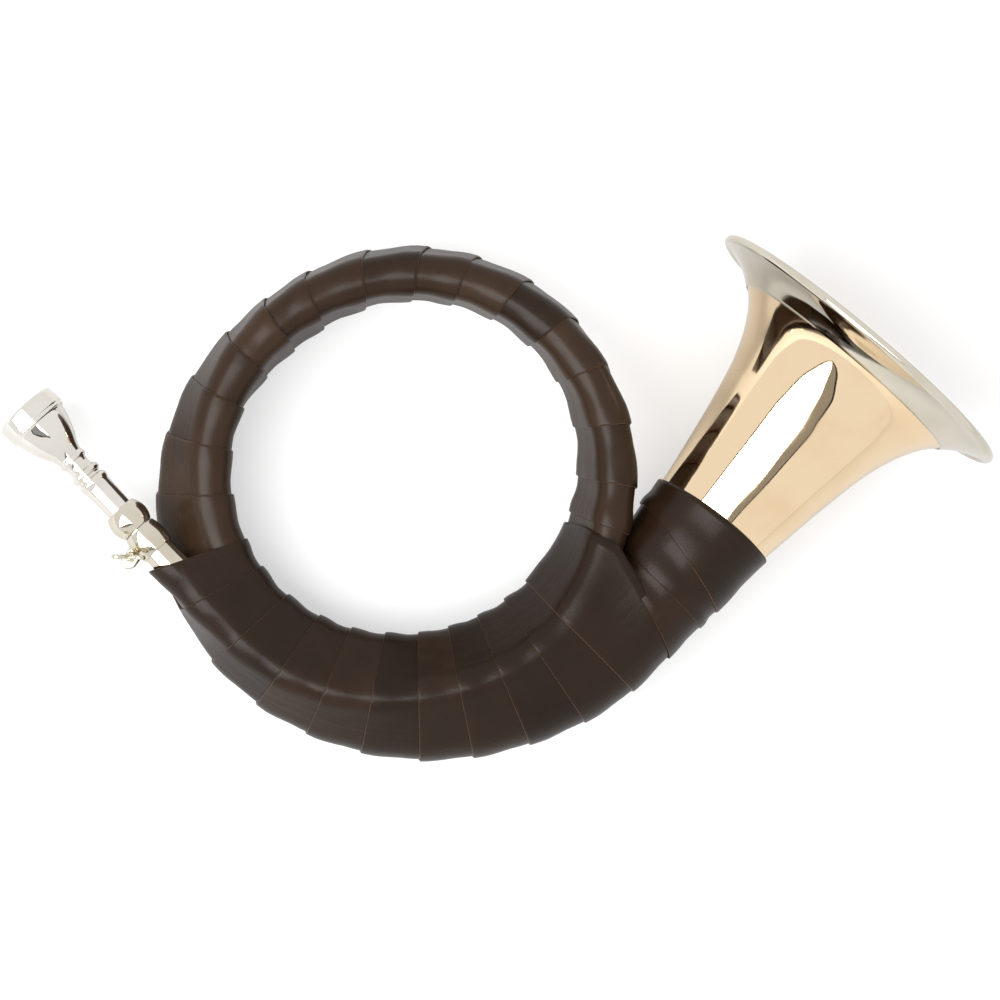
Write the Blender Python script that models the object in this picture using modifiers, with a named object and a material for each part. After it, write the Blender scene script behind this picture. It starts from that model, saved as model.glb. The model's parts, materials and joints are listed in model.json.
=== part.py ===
"""Round leather-wrapped hunting horn in B flat.

A conical brass tube makes two and a quarter turns and ends in a flared bell. The coil is wound
with leather. A short tuning slide with a wing screw carries the mouthpiece.

The horn is laid out on its coil: the ring's centre is the origin, the bell points along +X,
and +Z is the front, the side that lies uppermost when the horn is laid down. Places along the
coil are given as the angle swept since the tube left the tuning slide. An empty then leans
the whole horn on its bell rim and the back of its ring, as it rests on a table.
"""

import math

import bpy
import numpy as np
from mathutils import Matrix, Vector

# Coil
SECTIONS = 30  # for each turn of the coil
STEP = 360 / SECTIONS
START_ANGLE = 174  # where the lead pipe meets the coil, seen from the front
SWEEP = 816  # degrees from there to the straight bell branch
HOLE_RADIUS = 0.0656
HOLE_OVAL = 0.0016  # the ring is bent by hand and is a little longer one way
OVAL_ANGLE = -34
LEAD_RADIUS = 0.0058
EVEN_GROWTH = 0.0040
LATE_GROWTH = 0.0092
TUBE_WALL = 0.0005
PASS_GAP = 0.0010
BELL_AXIS_HEIGHT = 0.0120

# Where each pass runs: angle swept, sideways place as a share of the neighbouring pass's
# width, and height to spare over the passes behind it
FRONT_LANE = (
    (0, 1.11, 0.0),
    (48, 0.98, 0.0),
    (96, 0.84, 0.0),
    (120, 0.54, 0.0),
    (144, 0.42, 0.0040),
    (180, 0.30, 0.0015),
    (228, 0.22, 0.0),
    (312, 0.02, 0.0),
    (372, 0.0, 0.0),
)
BACK_LANE = (
    (456, 0.0),
    (504, 0.12),
    (540, 0.25),
    (588, 0.21),
    (630, 0.02),
    (660, 0.20),
    (684, 0.40),
    (720, 0.76),
    (744, 0.92),
    (768, 1.01),
    (792, 1.02),
    (816, 1.12),
)

# Joints between the branches of the tube. A ferrule covers the section step its joint is in,
# and the bell is soldered flush to its branch
LEAD_JOINT = 258
BRANCH_JOINT = 594
BELL_JOINT = 798
JOINT_GAP = 0.4  # degrees between the ends of two branches
FERRULE_WALL = 0.0004
FERRULE_GAP = 0.0002

# Bell: distance from the end of the coil, outer radius
BELL_PROFILE = (
    (0.0250, 0.0214),
    (0.0500, 0.0238),
    (0.0650, 0.0254),
    (0.0800, 0.0277),
    (0.0960, 0.0303),
    (0.1116, 0.0334),
    (0.1195, 0.0355),
    (0.1274, 0.0384),
    (0.1336, 0.0415),
    (0.1392, 0.0452),
    (0.1436, 0.0495),
    (0.1478, 0.0552),
    (0.1502, 0.0602),
    (0.1517, 0.0651),
)
BELL_WALL = 0.0006
RIM_WIRE_RADIUS = 0.0011
RIM_WIRE_PLACE = (0.1526, 0.0664)
GARLAND_START = 9  # the place in the profile where the garland's edge lies
GARLAND_GAP = 0.00025
GARLAND_WALL = 0.00045
ROLL_GAP = 0.0003

# Leather
LEATHER = 0.0010
LEATHER_EASE = 0.0009  # the leather clears the ferrules under it
WRAP_JOINT_GAP = 0.3  # degrees
LEAD_WRAP_END = -22  # where the leather's edge crosses the lead pipe
CROTCH = 120  # where the ring and the bell branch part
CUFF_END = 0.0644
CUFF_RINGS = 6

# Tuning slide, measured outwards along the lead pipe from the start of the coil
LEAD_STRAIGHT = 0.0160
OUTER_SLIDE_START = 0.0040
OUTER_SLIDE_END = 0.0540
OUTER_SLIDE_WALL = 0.0003
INNER_SLIDE_START = 0.0200
INNER_SLIDE_WALL = 0.00035
SLIDE_GAP = 0.0002
COLLAR_LENGTH = 0.0109
COLLAR_EDGE = 0.0004  # thickness of the collar at its ends
COLLAR_BULGE = 0.0005  # how much thicker it is in the middle
BALL_LENGTH = 0.0106
BALL_EDGE = 0.0004
BALL_BULGE = 0.0017
BALL_RINGS = 8
SEAM_GAP = 0.0003

# Clamp: the collar is slit through the lug at its side, and the wing screw draws the two
# halves of the lug together. Reaches are measured from the pipe's axis, away from the ring
LUG_REACH = 0.0113  # to the middle of its round end
LUG_SHIFT = 0.0008  # towards the coil from the middle of the collar
LUG_RADIUS = 0.0031
LUG_THICKNESS = 0.0048  # of both halves with the slit between them
LUG_ROOT = 0.0002  # how far above the collar's bore the lug starts
SLIT_WIDTH = 0.0007
SLIT_PAST = 0.0010  # how far the slit in the tube runs on past the collar
SCREW_REACH = 0.0093
SCREW_RADIUS = 0.0013
SCREW_CLEARANCE = 0.0002
SCREW_END = 0.0010  # how far the screw stands out behind the lug
SCREW_CHAMFER = 0.0004
HUB_RADIUS = 0.0019
HUB_LENGTH = 0.0056
HUB_CROWN = 0.0006
WING_LENGTH = 0.0072
WING_RADIUS = 0.0024
WING_ROOT = 0.0015  # half the width of a wing where it leaves the hub
WING_THICKNESS = 0.0018
WING_HEIGHT = 0.0046  # up the hub
WING_LEAN = 62  # degrees between a wing and the screw
WING_TURN = -45  # degrees between the wings and the way out from the ring

# Mouthpiece, measured from its rim towards the tip
MOUTHPIECE_VISIBLE = 0.0540
SHANK_INSERTED = 0.0220
SHANK_GAP = 0.0002  # between the shank and its receiver
SHANK_STEP = 0.0003  # how far the shank widens at the beads
SHANK_TAPER = 0.05  # loss of diameter per length
SOCKET_SPARE = 0.0020  # depth of the mouthpiece's socket beyond its tip
RIM_RADIUS = 0.01285
CUP_RADIUS = 0.0086
CUP_DEPTH = 0.0150
THROAT_RADIUS = 0.0021
THROAT_LENGTH = 0.0060
TIP_BORE_RADIUS = 0.0038

# Rest, in kilograms per cubic metre and degrees
METAL_DENSITY = 8500
LEATHER_DENSITY = 900
MOST_LEAN = 25
MOST_ROLL = 15

TUBE_SIDES = 12
ROUND_SIDES = 24  # bell, ferrules, leather and turned pieces
WIRE_SIDES = 8
SCREW_SIDES = 16
WING_SIDES = 12


for leftover in list(bpy.data.objects):
    bpy.data.objects.remove(leftover, do_unlink=True)

parts = bpy.data.collections.new("hunting_horn")
cutters = bpy.data.collections.new("cutters")
bpy.context.scene.collection.children.link(parts)
bpy.context.scene.collection.children.link(cutters)


def finish(name, color, roughness, metallic):
    """A Principled material."""
    material = bpy.data.materials.new(name)
    material.use_nodes = True
    shader = material.node_tree.nodes["Principled BSDF"]
    shader.inputs["Base Color"].default_value = (*color, 1.0)
    shader.inputs["Roughness"].default_value = roughness
    shader.inputs["Metallic"].default_value = metallic
    return material


def add_empty(name, parent=None, matrix=None):
    empty = bpy.data.objects.new(name, None)
    parts.objects.link(empty)
    empty.parent = parent
    if matrix is not None:
        empty.matrix_local = matrix
    return empty


def add_mesh(name, points, faces, material, parent, collection=parts):
    mesh = bpy.data.meshes.new(name)
    mesh.from_pydata([tuple(point) for point in points], [], faces)
    mesh.materials.append(material)
    mesh.shade_smooth()
    body = bpy.data.objects.new(name, mesh)
    collection.objects.link(body)
    body.parent = parent
    return body


def add_turned(name, profile, material, parent, steps=ROUND_SIDES):
    """A closed outline of (radius, height), outer side downwards first, turned about Z."""
    mesh = bpy.data.meshes.new(name)
    count = len(profile)
    points = [(radius, 0.0, height) for radius, height in profile]
    edges = [(i, (i + 1) % count) for i in range(count)]
    mesh.from_pydata(points, edges, [])
    mesh.materials.append(material)
    body = bpy.data.objects.new(name, mesh)
    parts.objects.link(body)
    body.parent = parent
    screw = body.modifiers.new("turn", "SCREW")
    screw.angle = math.tau
    screw.steps = steps
    screw.render_steps = steps
    screw.use_merge_vertices = True
    screw.merge_threshold = 0.00001
    screw.use_smooth_shade = True
    return body


def loft(name, outer, inner, material, parent):
    """A tube wall between outer and inner rings of points, closed at both ends."""
    sides = len(outer[0])
    count = len(outer)
    points = [point for ring in outer + inner for point in ring]

    def corner(ring, side):
        return ring * sides + side % sides

    faces = []
    for ring in range(count - 1):
        for side in range(sides):
            faces.append(
                (
                    corner(ring, side),
                    corner(ring, side + 1),
                    corner(ring + 1, side + 1),
                    corner(ring + 1, side),
                )
            )
            faces.append(
                (
                    corner(count + ring, side),
                    corner(count + ring + 1, side),
                    corner(count + ring + 1, side + 1),
                    corner(count + ring, side + 1),
                )
            )
    for side in range(sides):
        faces.append(
            (corner(0, side), corner(count, side), corner(count, side + 1), corner(0, side + 1))
        )
        last = count - 1
        faces.append(
            (
                corner(last, side),
                corner(last, side + 1),
                corner(count + last, side + 1),
                corner(count + last, side),
            )
        )
    return add_mesh(name, points, faces, material, parent)


def smooth(stations, at):
    """The value at a place, on a smooth curve through (place, value) stations."""
    places = [place for place, value in stations]
    values = [value for place, value in stations]
    if at <= places[0]:
        return values[0]
    if at >= places[-1]:
        return values[-1]
    last = len(places) - 1
    slopes = [0.0]
    for i in range(1, last):
        slopes.append((values[i + 1] - values[i - 1]) / (places[i + 1] - places[i - 1]))
    slopes.append(0.0)
    i = max(k for k in range(last) if places[k] <= at)
    span = places[i + 1] - places[i]
    t = (at - places[i]) / span
    return (
        (2 * t**3 - 3 * t**2 + 1) * values[i]
        + (t**3 - 2 * t**2 + t) * span * slopes[i]
        + (3 * t**2 - 2 * t**3) * values[i + 1]
        + (t**3 - t**2) * span * slopes[i + 1]
    )


def tube_radius(swept):
    """Outer radius of the conical tube, which grows slowly at first and fast at the end."""
    share = min(max(swept / SWEEP, 0.0), 1.0)
    return LEAD_RADIUS + EVEN_GROWTH * share**1.3 + LATE_GROWTH * share**9


LANE = tuple((swept, share) for swept, share, spare in FRONT_LANE) + BACK_LANE
SPARE_HEIGHT = tuple((swept, spare) for swept, share, spare in FRONT_LANE)
INNER_REACH = HOLE_RADIUS + LEATHER + LEATHER_EASE
OUTER_SLIDE_RADIUS = LEAD_RADIUS + SLIDE_GAP + OUTER_SLIDE_WALL


def oval(swept):
    """How far the ring leaves the round, fading out towards the straight ends."""
    fade = smooth(((0, 0.0), (60, 1.0)), swept) * smooth(((SWEEP - 60, 1.0), (SWEEP, 0.0)), swept)
    turned = START_ANGLE + swept - OVAL_ANGLE
    return HOLE_OVAL * fade * math.cos(2 * math.radians(turned))


def coil_reach(swept):
    """Distance of the tube's centre from the middle of the ring, on the coil itself."""
    neighbour = swept + 360 if swept < 408 else swept - 360
    spacing = smooth(LANE, swept) * (2 * tube_radius(neighbour) + PASS_GAP)
    return INNER_REACH + oval(swept) + tube_radius(swept) + spacing


LEAD_REACH = coil_reach(0)
BELL_REACH = coil_reach(SWEEP)


def bell_radius(distance):
    """Outer radius of the bell branch at a distance past the end of the coil."""
    stations = ((0.0, tube_radius(SWEEP)),) + BELL_PROFILE
    for (near, small), (far, large) in zip(stations, stations[1:]):
        if distance <= far:
            return small + (large - small) * (distance - near) / (far - near)
    return stations[-1][1]


def reach_and_radius(swept):
    """A pass's reach and half width in the plane through the ring's axis, also past the
    ends of the coil, where that plane cuts the straight tube at a slant."""
    if swept < 0:
        slant = math.cos(math.radians(swept))
        return LEAD_REACH / slant, OUTER_SLIDE_RADIUS / slant
    if swept > SWEEP:
        slant = math.radians(swept - SWEEP)
        far = near = BELL_REACH
        for _ in range(6):
            far = BELL_REACH + bell_radius(far * math.tan(slant))
            near = BELL_REACH - bell_radius(near * math.tan(slant))
        return (far + near) / 2 / math.cos(slant), (far - near) / 2 / math.cos(slant)
    return coil_reach(swept), tube_radius(swept)


def back_height(swept):
    """The back passes lie on one plane, up to the height of the bell's axis."""
    return min(tube_radius(swept), BELL_AXIS_HEIGHT)


def stacked_height(swept):
    """The height at which the front pass clears every pass behind it."""
    reach, radius = reach_and_radius(swept)
    height = 0.0
    for behind in (swept + 360, swept + 720):
        if behind > SWEEP + 60:
            continue
        other_reach, other_radius = reach_and_radius(behind)
        apart = radius + other_radius + PASS_GAP
        if behind > SWEEP:
            apart += 2 * (LEATHER + LEATHER_EASE)
        sideways = other_reach - reach
        over = math.sqrt(max(apart**2 - sideways**2, 0.0))
        height = max(height, back_height(behind) + over)
    return height


HEIGHTS = tuple(
    (swept, stacked_height(swept) + spare) for swept, spare in SPARE_HEIGHT
) + tuple((swept, back_height(swept)) for swept, share in BACK_LANE)


def section(swept):
    """Reach, height and half width of the tube in the plane through the ring's axis."""
    reach, radius = reach_and_radius(swept)
    return reach, smooth(HEIGHTS, swept), radius


def on_ring(swept, reach, height):
    """A point of the horn from its angle, its distance from the ring's axis and its height."""
    angle = math.radians(START_ANGLE + swept)
    return Vector((reach * math.cos(angle), reach * math.sin(angle), height))


def coil_ring(swept, grow, sides=TUBE_SIDES):
    """A ring of points round the tube, grown or shrunk from its outer surface."""
    reach, height, radius = section(swept)
    ring = []
    for side in range(sides):
        turn = math.tau * side / sides
        out = reach + (radius + grow) * math.cos(turn)
        ring.append(on_ring(swept, out, height + (radius + grow) * math.sin(turn)))
    return ring


def places(first, last):
    """Sections from one angle to another, on the coil's own steps."""
    steps = range(math.ceil((first + 0.1) / STEP), math.ceil((last - 0.1) / STEP))
    return [first] + [step * STEP for step in steps] + [last]


def between_steps(swept, ring_at):
    """A ring of points at any angle. Between two steps it lies on the straight lines from one
    to the other, so that the pieces nested in one another keep their gaps."""
    step = math.floor(swept / STEP)
    share = swept / STEP - step
    if share == 0:
        return ring_at(swept)
    pairs = zip(ring_at(step * STEP), ring_at((step + 1) * STEP))
    return [near.lerp(far, share) for near, far in pairs]


def tube_rings(swept_places, grow, sides=TUBE_SIDES):
    return [between_steps(s, lambda step: coil_ring(step, grow, sides)) for s in swept_places]


# Rings of the tube turn from reach towards height as they go along the coil, which leaves
# the loft's faces pointing in, so every list of rings runs against the coil
def against(rings):
    return list(reversed(rings))


brass = finish("gold_brass", (0.80, 0.58, 0.32), 0.12, 1.0)
nickel = finish("nickel_silver", (0.72, 0.69, 0.60), 0.15, 1.0)
silver = finish("silver_plate", (0.86, 0.85, 0.82), 0.10, 1.0)
leather = finish("brown_leather", (0.045, 0.030, 0.024), 0.45, 0.0)

horn = add_empty("horn_rest")


# Coil branches. The lead branch starts with a straight stretch inside the outer slide
lead_direction = on_ring(-90, 1.0, 0.0)
coil_start = on_ring(0, LEAD_REACH, section(0)[1])


def straight_ring(distance, radius, sides=TUBE_SIDES):
    """A ring round the straight lead pipe, a distance outwards from the start of the coil."""
    outwards = on_ring(0, 1.0, 0.0)
    ring = []
    for side in range(sides):
        turn = math.tau * side / sides
        offset = outwards * math.cos(turn) + Vector((0, 0, 1)) * math.sin(turn)
        ring.append(coil_start + lead_direction * distance + offset * radius)
    return ring


lead_places = places(0, LEAD_JOINT - JOINT_GAP / 2)
loft(
    "lead_branch",
    against([straight_ring(LEAD_STRAIGHT, LEAD_RADIUS)] + tube_rings(lead_places, 0)),
    against(
        [straight_ring(LEAD_STRAIGHT, LEAD_RADIUS - TUBE_WALL)]
        + tube_rings(lead_places, -TUBE_WALL)
    ),
    brass,
    horn,
)
for name, first_joint, last_joint, sides in (
    ("middle_branch", LEAD_JOINT, BRANCH_JOINT, TUBE_SIDES),
    ("bell_branch", BRANCH_JOINT, BELL_JOINT, ROUND_SIDES),
):
    branch_places = places(first_joint + JOINT_GAP / 2, last_joint - JOINT_GAP / 2)
    loft(
        name,
        against(tube_rings(branch_places, 0, sides)),
        against(tube_rings(branch_places, -TUBE_WALL, sides)),
        brass,
        horn,
    )
for name, joint in (("lead_ferrule", LEAD_JOINT), ("branch_ferrule", BRANCH_JOINT)):
    ferrule_start = math.floor(joint / STEP) * STEP
    ferrule_places = (ferrule_start, ferrule_start + STEP)
    loft(
        name,
        against(tube_rings(ferrule_places, FERRULE_GAP + FERRULE_WALL, ROUND_SIDES)),
        against(tube_rings(ferrule_places, FERRULE_GAP, ROUND_SIDES)),
        nickel,
        horn,
    )


# Bell: it starts with a short curved stretch, soldered flush to the bell branch
def profile_normals(profile):
    """The direction away from the axis at each point of a (distance, radius) profile."""
    normals = []
    for i in range(len(profile)):
        before = profile[max(i - 1, 0)]
        after = profile[min(i + 1, len(profile) - 1)]
        along = Vector((after[0] - before[0], after[1] - before[1])).normalized()
        normals.append(Vector((-along.y, along.x)))
    return normals


flare = [Vector(point) for point in ((0.0, tube_radius(SWEEP)),) + BELL_PROFILE]
flare_normals = profile_normals(flare)


def flare_offset(away):
    """The flare's profile moved away from its outer surface."""
    return [point + normal * away for point, normal in zip(flare, flare_normals)]


def bell_point(distance, radius, turn):
    """A point round the bell's axis, turned from away from the ring towards the front."""
    return Vector(
        (
            distance,
            -BELL_REACH - radius * math.cos(turn),
            BELL_AXIS_HEIGHT + radius * math.sin(turn),
        )
    )


def bell_rings(profile):
    turns = [math.tau * side / ROUND_SIDES for side in range(ROUND_SIDES)]
    return [[bell_point(distance, radius, turn) for turn in turns] for distance, radius in profile]


bell_places = places(BELL_JOINT + JOINT_GAP / 2, SWEEP)[:-1]
loft(
    "bell",
    against(tube_rings(bell_places, 0, ROUND_SIDES) + bell_rings(flare)),
    against(
        tube_rings(bell_places, -BELL_WALL, ROUND_SIDES) + bell_rings(flare_offset(-BELL_WALL))
    ),
    brass,
    horn,
)

bell_axis = add_empty(
    "bell_axis",
    horn,
    Matrix.Translation((0, -BELL_REACH, BELL_AXIS_HEIGHT)) @ Matrix.Rotation(math.pi / 2, 4, "Y"),
)
wire_distance, wire_reach = RIM_WIRE_PLACE


def round_outline(center_radius, center_height, radius, turns):
    """Points of a circle in a turned outline, at angles from the axis' outward side."""
    return [
        (
            center_radius + radius * math.cos(math.radians(turn)),
            center_height + radius * math.sin(math.radians(turn)),
        )
        for turn in turns
    ]


add_turned(
    "rim_wire",
    round_outline(
        wire_reach, wire_distance, RIM_WIRE_RADIUS, [22.5 - 45 * i for i in range(WIRE_SIDES)]
    ),
    silver,
    bell_axis,
)

# Garland: a band laid on the flare and rolled round the rim wire. A flat step of the roll
# faces forwards
roll_turns = [-157.5 + 45 * i for i in range(7)]
roll_inner = RIM_WIRE_RADIUS + ROLL_GAP
roll_outer = roll_inner + GARLAND_WALL
band_outer = flare_offset(GARLAND_GAP + GARLAND_WALL)[GARLAND_START:]
band_inner = flare_offset(GARLAND_GAP)[GARLAND_START:]
garland_outline = (
    [(radius, distance) for distance, radius in band_outer]
    + round_outline(wire_reach, wire_distance, roll_outer, roll_turns[1:])
    + round_outline(wire_reach, wire_distance, roll_inner, reversed(roll_turns[1:]))
    + [(radius, distance) for distance, radius in reversed(band_inner)]
)
add_turned("bell_garland", list(reversed(garland_outline)), nickel, bell_axis)


# Leather. A strip is pulled tight round the passes, so its section is their common hull:
# straight between two tubes and round over each of them
def hull_ring(swept, passes, grow):
    sections = [section(swept + 360 * turn) for turn in passes]
    ring = []
    for side in range(ROUND_SIDES):
        turn = math.tau * side / ROUND_SIDES
        away = Vector((math.cos(turn), math.sin(turn)))
        reach, height, radius = max(
            sections, key=lambda tube: tube[0] * away.x + tube[1] * away.y + tube[2]
        )
        out = radius + LEATHER_EASE + grow
        ring.append(on_ring(swept, reach + out * away.x, height + out * away.y))
    return ring


def wrap_rings(swept_places, passes, grow):
    return [between_steps(s, lambda step: hull_ring(step, passes, grow)) for s in swept_places]


def add_wrap(name, first, last, passes):
    wrap_places = places(first, last)
    return loft(
        name,
        against(wrap_rings(wrap_places, passes, LEATHER)),
        against(wrap_rings(wrap_places, passes, 0)),
        leather,
        horn,
    )


base_wrap = add_wrap("base_wrap", LEAD_WRAP_END, CROTCH - WRAP_JOINT_GAP / 2, (0, 1, 2))
ring_wrap_end = 360 + LEAD_WRAP_END - WRAP_JOINT_GAP
ring_wrap = add_wrap("ring_wrap", CROTCH + WRAP_JOINT_GAP / 2, ring_wrap_end, (0, 1))

cuff_start = math.radians(CROTCH + WRAP_JOINT_GAP / 2 + 720 - SWEEP)


def cuff_ring(share, grow):
    """A ring of the cuff, slanted like the crotch at first and square at its end."""
    slant = math.tan(cuff_start) * (1 - share)
    middle = BELL_REACH * math.tan(cuff_start) * (1 - share) + CUFF_END * share
    ring = []
    for side in range(ROUND_SIDES):
        turn = math.tau * side / ROUND_SIDES
        distance = middle
        for _ in range(4):
            radius = bell_radius(distance) + LEATHER_EASE + grow
            distance = middle + slant * radius * math.cos(turn)
        ring.append(bell_point(distance, radius, turn))
    return ring


cuff_shares = [i / (CUFF_RINGS - 1) for i in range(CUFF_RINGS)]
loft(
    "bell_cuff",
    against([cuff_ring(share, LEATHER) for share in cuff_shares]),
    against([cuff_ring(share, 0) for share in cuff_shares]),
    leather,
    horn,
)


# Tuning slide and mouthpiece, turned about the lead pipe's axis: local Z runs outwards
# along it and local X away from the ring
outwards = on_ring(0, 1.0, 0.0)
basis = Matrix((outwards, lead_direction.cross(outwards), lead_direction)).transposed()
lead_axis = add_empty("lead_axis", horn, Matrix.Translation(coil_start) @ basis.to_4x4())

outer_bore = LEAD_RADIUS + SLIDE_GAP
outer_slide = add_turned(
    "outer_slide",
    [
        (OUTER_SLIDE_RADIUS, OUTER_SLIDE_END),
        (OUTER_SLIDE_RADIUS, OUTER_SLIDE_START),
        (outer_bore, OUTER_SLIDE_START),
        (outer_bore, OUTER_SLIDE_END),
    ],
    brass,
    lead_axis,
)

ball_start = OUTER_SLIDE_END + SEAM_GAP
receiver_mouth = ball_start + BALL_LENGTH
inner_radius = LEAD_RADIUS
mouth_bore = inner_radius - INNER_SLIDE_WALL
shank_radius = mouth_bore - SHANK_GAP
shank_tip_radius = shank_radius - SHANK_INSERTED * SHANK_TAPER / 2
tip_bore = shank_tip_radius + SHANK_GAP
slide_carrier = add_empty("tuning_slide", lead_axis)
add_turned(
    "inner_slide",
    [
        (inner_radius, receiver_mouth),
        (inner_radius, INNER_SLIDE_START),
        (tip_bore, INNER_SLIDE_START),
        (tip_bore, receiver_mouth - SHANK_INSERTED - SOCKET_SPARE),
        (mouth_bore, receiver_mouth),
    ],
    silver,
    slide_carrier,
)


def ball_outline(start, length, bore, edge, bulge):
    """A barrel with a bore: its wall is an edge thick at the ends and bulges in the middle."""
    half = length / 2
    radius = bore + edge + bulge
    curve = (half**2 + bulge**2) / (2 * bulge)
    outline = []
    for i in range(BALL_RINGS + 1):
        height = half - length * i / BALL_RINGS
        outline.append((radius - curve + math.sqrt(curve**2 - height**2), start + half + height))
    return outline + [(bore, start), (bore, start + length)]


ball_bore = inner_radius + SLIDE_GAP
add_turned(
    "receiver_ball",
    ball_outline(ball_start, BALL_LENGTH, ball_bore, BALL_EDGE, BALL_BULGE),
    nickel,
    slide_carrier,
)

collar_bore = OUTER_SLIDE_RADIUS + SLIDE_GAP
collar_start = OUTER_SLIDE_END - COLLAR_LENGTH
collar_radius = collar_bore + COLLAR_EDGE + COLLAR_BULGE
collar = add_turned(
    "clamp_collar",
    ball_outline(collar_start, COLLAR_LENGTH, collar_bore, COLLAR_EDGE, COLLAR_BULGE),
    nickel,
    lead_axis,
)

# Lug and wing screw. The screw's local Z runs to the front and its local X away from the ring
screw_middle = collar_start + COLLAR_LENGTH / 2
screw_place = (
    Matrix.Translation((SCREW_REACH, 0, screw_middle)) @ Matrix.Rotation(-math.pi / 2, 4, "X")
)
screw_axis = add_empty("screw_axis", lead_axis, screw_place)


def add_tool(name, points, faces):
    """A hidden body that is joined to a piece or cut from it."""
    body = add_mesh(name, points, faces, nickel, screw_axis, cutters)
    body.hide_render = True
    body.display_type = "WIRE"
    return body


def add_plate(name, outline, low, high, place=None):
    """An outline made thick, from one height to another."""
    count = len(outline)
    points = [Vector((x, y, height)) for height in (low, high) for x, y in outline]
    if place is not None:
        points = [place @ point for point in points]
    faces = [tuple(reversed(range(count))), tuple(range(count, 2 * count))]
    for i in range(count):
        after = (i + 1) % count
        faces.append((i, after, after + count, i + count))
    return add_tool(name, points, faces)


def tongue(root, root_half, reach, shift, radius):
    """An outline with a straight root and a round end."""
    turns = [-90 + 180 * i / WING_SIDES for i in range(WING_SIDES + 1)]
    round_end = round_outline(reach, shift, radius, turns)
    return [(root, shift - root_half)] + round_end + [(root, shift + root_half)]


def add_boolean(body, tool, operation):
    modifier = body.modifiers.new(tool.name, "BOOLEAN")
    modifier.operation = operation
    modifier.object = tool


lug_half = LUG_THICKNESS / 2
lug_root = collar_bore + LUG_ROOT - SCREW_REACH
lug_end = LUG_REACH - SCREW_REACH
lug = add_plate(
    "lug_tool",
    tongue(lug_root, LUG_RADIUS, lug_end, LUG_SHIFT, LUG_RADIUS),
    -lug_half,
    lug_half,
)
slit_half = COLLAR_LENGTH / 2 + SLIT_PAST
slit_start = inner_radius + SLIDE_GAP / 2 - SCREW_REACH
slit_end = lug_end + 2 * LUG_RADIUS
slit = add_plate(
    "slit_tool",
    [
        (slit_start, -slit_half),
        (slit_end, -slit_half),
        (slit_end, slit_half),
        (slit_start, slit_half),
    ],
    -SLIT_WIDTH / 2,
    SLIT_WIDTH / 2,
)
hole_turns = [360 * i / SCREW_SIDES for i in range(SCREW_SIDES)]
screw_hole = add_plate(
    "screw_hole_tool",
    round_outline(0, 0, SCREW_RADIUS + SCREW_CLEARANCE, hole_turns),
    -LUG_THICKNESS,
    LUG_THICKNESS,
)
add_boolean(collar, lug, "UNION")
add_boolean(collar, slit, "DIFFERENCE")
add_boolean(collar, screw_hole, "DIFFERENCE")
add_boolean(outer_slide, slit, "DIFFERENCE")

hub_start = lug_half + SEAM_GAP
hub_end = hub_start + HUB_LENGTH
tip = -lug_half - SCREW_END
wing_screw = add_turned(
    "wing_screw",
    [
        (0.0, hub_end + HUB_CROWN),
        (HUB_RADIUS - HUB_CROWN, hub_end + HUB_CROWN / 2),
        (HUB_RADIUS, hub_end - HUB_CROWN / 2),
        (HUB_RADIUS, hub_start),
        (SCREW_RADIUS, hub_start),
        (SCREW_RADIUS, tip + SCREW_CHAMFER),
        (SCREW_RADIUS - SCREW_CHAMFER, tip),
        (0.0, tip),
    ],
    nickel,
    screw_axis,
    SCREW_SIDES,
)


# Each wing is a flat lobe that leans away from the hub
wing_outline = tongue(0.0, WING_ROOT, WING_LENGTH - WING_RADIUS, 0.0, WING_RADIUS)
for wing_name, half_turn in (("left_wing_tool", 180), ("right_wing_tool", 0)):
    wing_place = (
        Matrix.Rotation(math.radians(WING_TURN + half_turn), 4, "Z")
        @ Matrix.Translation((0, 0, hub_start + WING_HEIGHT))
        @ Matrix.Rotation(math.radians(WING_LEAN - 90), 4, "Y")
        @ Matrix.Rotation(math.pi / 2, 4, "X")
    )
    wing = add_plate(
        wing_name, wing_outline, -WING_THICKNESS / 2, WING_THICKNESS / 2, wing_place
    )
    add_boolean(wing_screw, wing, "UNION")


# Mouthpiece: heights are measured from the start of the coil, distances from the rim
rim_height = receiver_mouth + MOUTHPIECE_VISIBLE
tip_distance = MOUTHPIECE_VISIBLE + SHANK_INSERTED
MOUTHPIECE_OUTLINE = (
    (0.0000, 0.0110),
    (0.0004, 0.0122),
    (0.0014, RIM_RADIUS),
    (0.0070, RIM_RADIUS),
    (0.0076, 0.0123),
    (0.0082, 0.0124),
    (0.0088, 0.0114),
    (0.0125, 0.0108),
    (0.0160, 0.0098),
    (0.0195, 0.0083),
    (0.0230, 0.0065),
    (0.0262, 0.0054),
    (0.0276, 0.0057),
    (0.0290, 0.0050),
    (0.0312, 0.0045),
    (0.0328, 0.0050),
    (0.0342, 0.0062),
    (0.0356, 0.0060),
    (0.0368, 0.0050),
    (0.0382, 0.0058),
    (0.0394, 0.0063),
    (0.0408, 0.0058),
    (0.0418, shank_radius + SHANK_STEP),
    (MOUTHPIECE_VISIBLE, shank_radius),
    (tip_distance, shank_tip_radius),
)
MOUTHPIECE_BORE = (
    (tip_distance, TIP_BORE_RADIUS),
    (CUP_DEPTH + THROAT_LENGTH, THROAT_RADIUS),
    (CUP_DEPTH, THROAT_RADIUS),
    (CUP_DEPTH * 0.75, CUP_RADIUS * 0.45),
    (CUP_DEPTH * 0.40, CUP_RADIUS * 0.80),
    (CUP_DEPTH * 0.10, CUP_RADIUS),
    (0.0005, CUP_RADIUS + 0.0005),
)
mouthpiece_carrier = add_empty("mouthpiece_axis", slide_carrier)
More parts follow.
